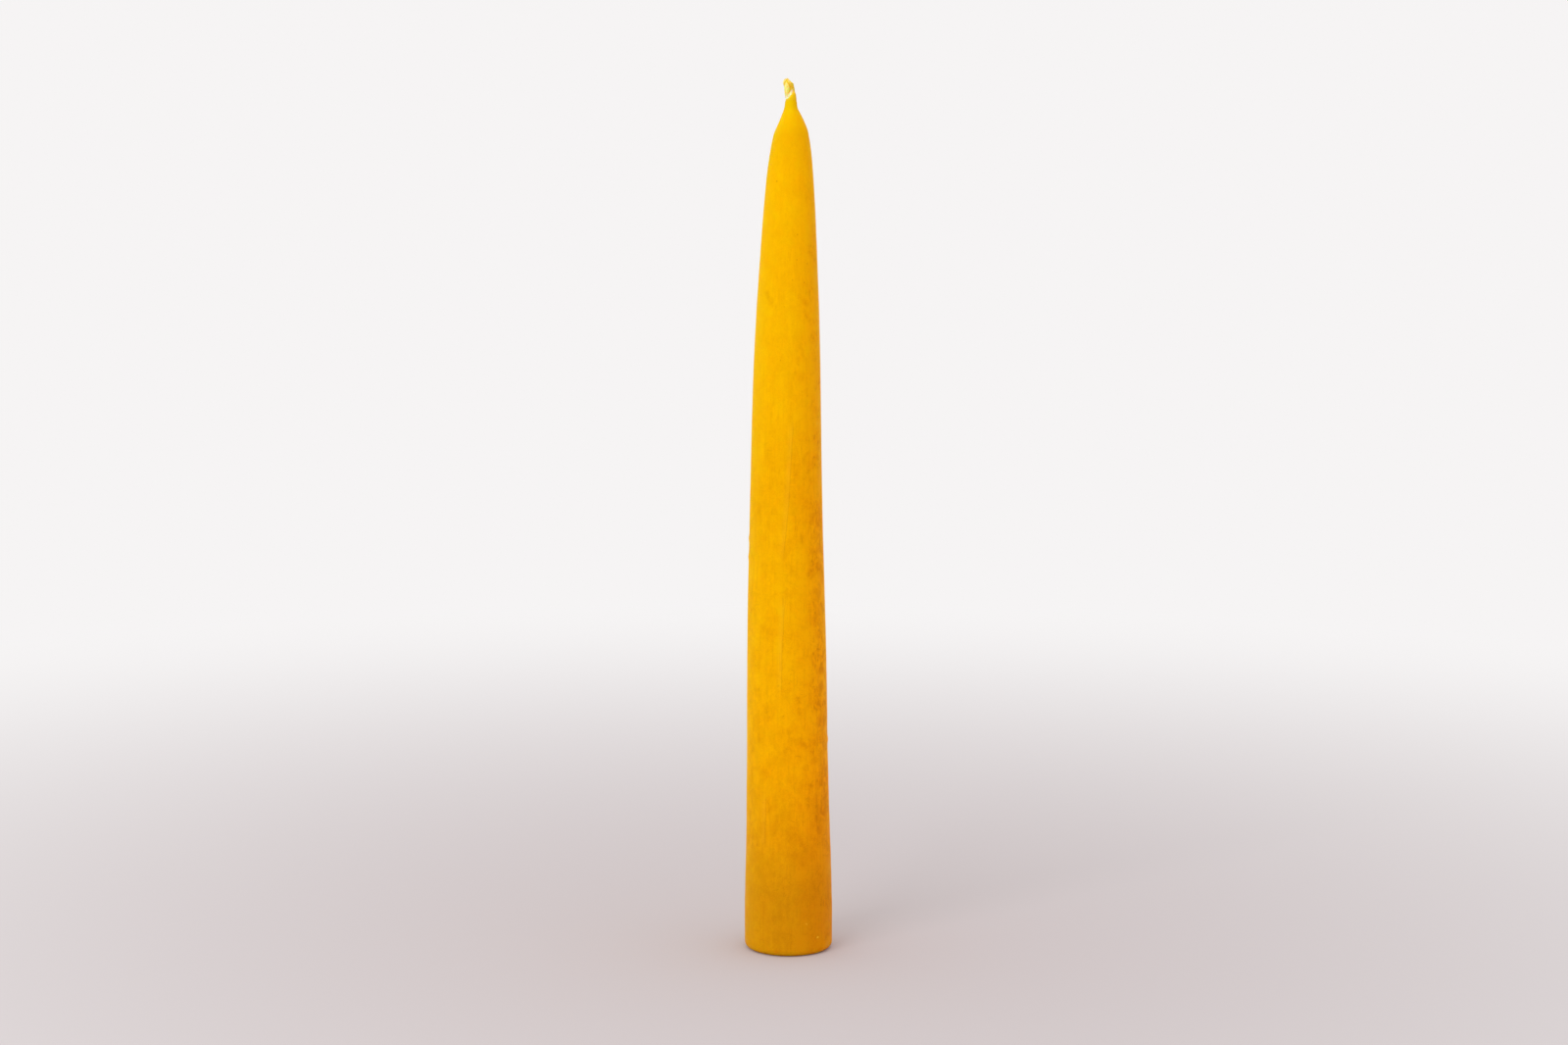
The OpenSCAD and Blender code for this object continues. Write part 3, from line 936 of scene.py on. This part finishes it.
def sweep_material(settings):
    """Matt paper sweep.

    It gives the eye a pale even ground that takes a soft shadow near the candle and fades into the room.
    """
    material, add = new_material("Matt paper sweep")
    place = add("ShaderNodeTexCoord", out="Object")
    away = add("ShaderNodeVectorMath", {0: place}, "Value", operation="LENGTH")
    fade = add("ShaderNodeMapRange", {
        "Value": away, "From Min": settings.fade_start, "From Max": settings.fade_end}, **SMOOTH)
    # The paper's tooth, drawn as coarse as 1.2 mm
    tooth = add("ShaderNodeTexNoise", {"Vector": place, "Scale": 1 / (1.2 * MM)})
    bump = add("ShaderNodeBump", {"Height": tooth, "Strength": 0.1, "Distance": 0.05 * MM}, "Normal")
    paper = add("ShaderNodeBsdfDiffuse", {"Color": [*settings.floor_colour, 1], "Normal": bump})
    glow = add("ShaderNodeEmission", {"Color": [*settings.backdrop_colour, 1]})
    seen = add("ShaderNodeLightPath", out="Is Camera Ray")
    faded = add("ShaderNodeMath", {0: fade, 1: seen}, operation="MULTIPLY")
    mixed = add("ShaderNodeMixShader", {0: faded, 1: paper, 2: glow})
    add("ShaderNodeOutputMaterial", {"Surface": mixed}, None)
    return material


def lay_floor(settings):
    """A wide round floor, which the candle stands on."""
    start_fresh()
    bpy.ops.mesh.primitive_circle_add(vertices=96, radius=60.0, fill_type="NGON")
    floor = bpy.context.object
    floor.name = "floor"
    floor.data.materials.append(sweep_material(settings))


def light_room(settings):
    """Even light from all round, and the near-white room that the camera sees."""
    world = bpy.data.worlds.new("Pale room")
    bpy.context.scene.world = world
    world.use_nodes = True
    world.node_tree.nodes.clear()
    add = functools.partial(add_node, world.node_tree)
    seen = add("ShaderNodeLightPath", out="Is Camera Ray")
    even = add("ShaderNodeBackground", {"Color": [*linear("#ffffff"), 1], "Strength": settings.room_light})
    room = add("ShaderNodeBackground", {"Color": [*settings.backdrop_colour, 1], "Strength": 1.0})
    mixed = add("ShaderNodeMixShader", {0: seen, 1: even, 2: room})
    add("ShaderNodeOutputWorld", {"Surface": mixed}, None)


def hang_lamp(name, place, aim, size, power):
    """A square soft lamp at a place, turned to face another."""
    start_fresh()
    bpy.ops.object.light_add(type="AREA", location=place)
    lamp = bpy.context.object
    lamp.name = name
    lamp.rotation_euler = (Vector(aim) - Vector(place)).to_track_quat("-Z", "Y").to_euler()
    lamp.data.size = size
    lamp.data.energy = power


def stand_camera(settings):
    """The camera at the height, distance and tilt from which the candle is looked at."""
    start_fresh()
    bpy.ops.object.camera_add(location=(-settings.offset, -settings.distance, settings.height))
    camera = bpy.context.object
    camera.name = "camera"
    camera.data.lens = settings.lens
    camera.data.sensor_width = 36.0
    camera.data.clip_start = 0.01
    camera.data.clip_end = 200.0
    tilt = Quaternion((1, 0, 0), math.pi / 2 - settings.pitch)
    camera.rotation_mode = "QUATERNION"
    camera.rotation_quaternion = tilt @ Quaternion((0, 0, 1), settings.roll)
    bpy.context.scene.camera = camera


class CANDLE_OT_stage(bpy.types.Operator):
    """Lay the floor, light it softly from the left and stand the camera"""

    bl_idname = "candle.stage"
    bl_label = "Stage"
    bl_options = {"REGISTER", "UNDO"}

    def execute(self, context):
        settings = context.scene.candle_stage
        lay_floor(settings)
        light_room(settings)
        middle = (0, 0, WICK_TOP / 2)
        hang_lamp("key", place=(-0.6, -0.85, 0.75), aim=middle, size=0.6, power=settings.key_power)
        stand_camera(settings)
        context.scene.view_settings.view_transform = "Standard"
        return {"FINISHED"}


class CANDLE_PT_panel(bpy.types.Panel):
    """Lists the candle's pieces and their settings"""

    bl_idname = "CANDLE_PT_panel"
    bl_label = "Dipped taper candle"
    bl_space_type = "VIEW_3D"
    bl_region_type = "UI"
    bl_category = "Candle"

    def draw(self, context):
        for label, group, operator in (
                ("Wax", "dipped_wax", CANDLE_OT_dipped_wax),
                ("Wick", "plaited_wick", CANDLE_OT_plaited_wick),
                ("Stage", "candle_stage", CANDLE_OT_stage)):
            settings = getattr(context.scene, group)
            box = self.layout.box()
            box.label(text=label)
            for name in settings.__annotations__:
                box.prop(settings, name)
            box.operator(operator.bl_idname)


CLASSES = (
    DippedWaxSettings, PlaitedWickSettings, StageSettings,
    CANDLE_OT_dipped_wax, CANDLE_OT_plaited_wick, CANDLE_OT_stage, CANDLE_PT_panel,
)


def register():
    """Registers the classes and hangs their settings on the scene."""
    for cls in CLASSES:
        bpy.utils.register_class(cls)
    bpy.types.Scene.dipped_wax = PointerProperty(type=DippedWaxSettings)
    bpy.types.Scene.plaited_wick = PointerProperty(type=PlaitedWickSettings)
    bpy.types.Scene.candle_stage = PointerProperty(type=StageSettings)


def unregister():
    """Takes the settings off the scene and unregisters the classes."""
    del bpy.types.Scene.candle_stage
    del bpy.types.Scene.plaited_wick
    del bpy.types.Scene.dipped_wax
    for cls in reversed(CLASSES):
        bpy.utils.unregister_class(cls)


def main():
    """Makes every piece and the stage."""
    register()
    bpy.ops.candle.dipped_wax()
    bpy.ops.candle.plaited_wick()
    bpy.ops.candle.stage()


if __name__ == "__main__":
    main()
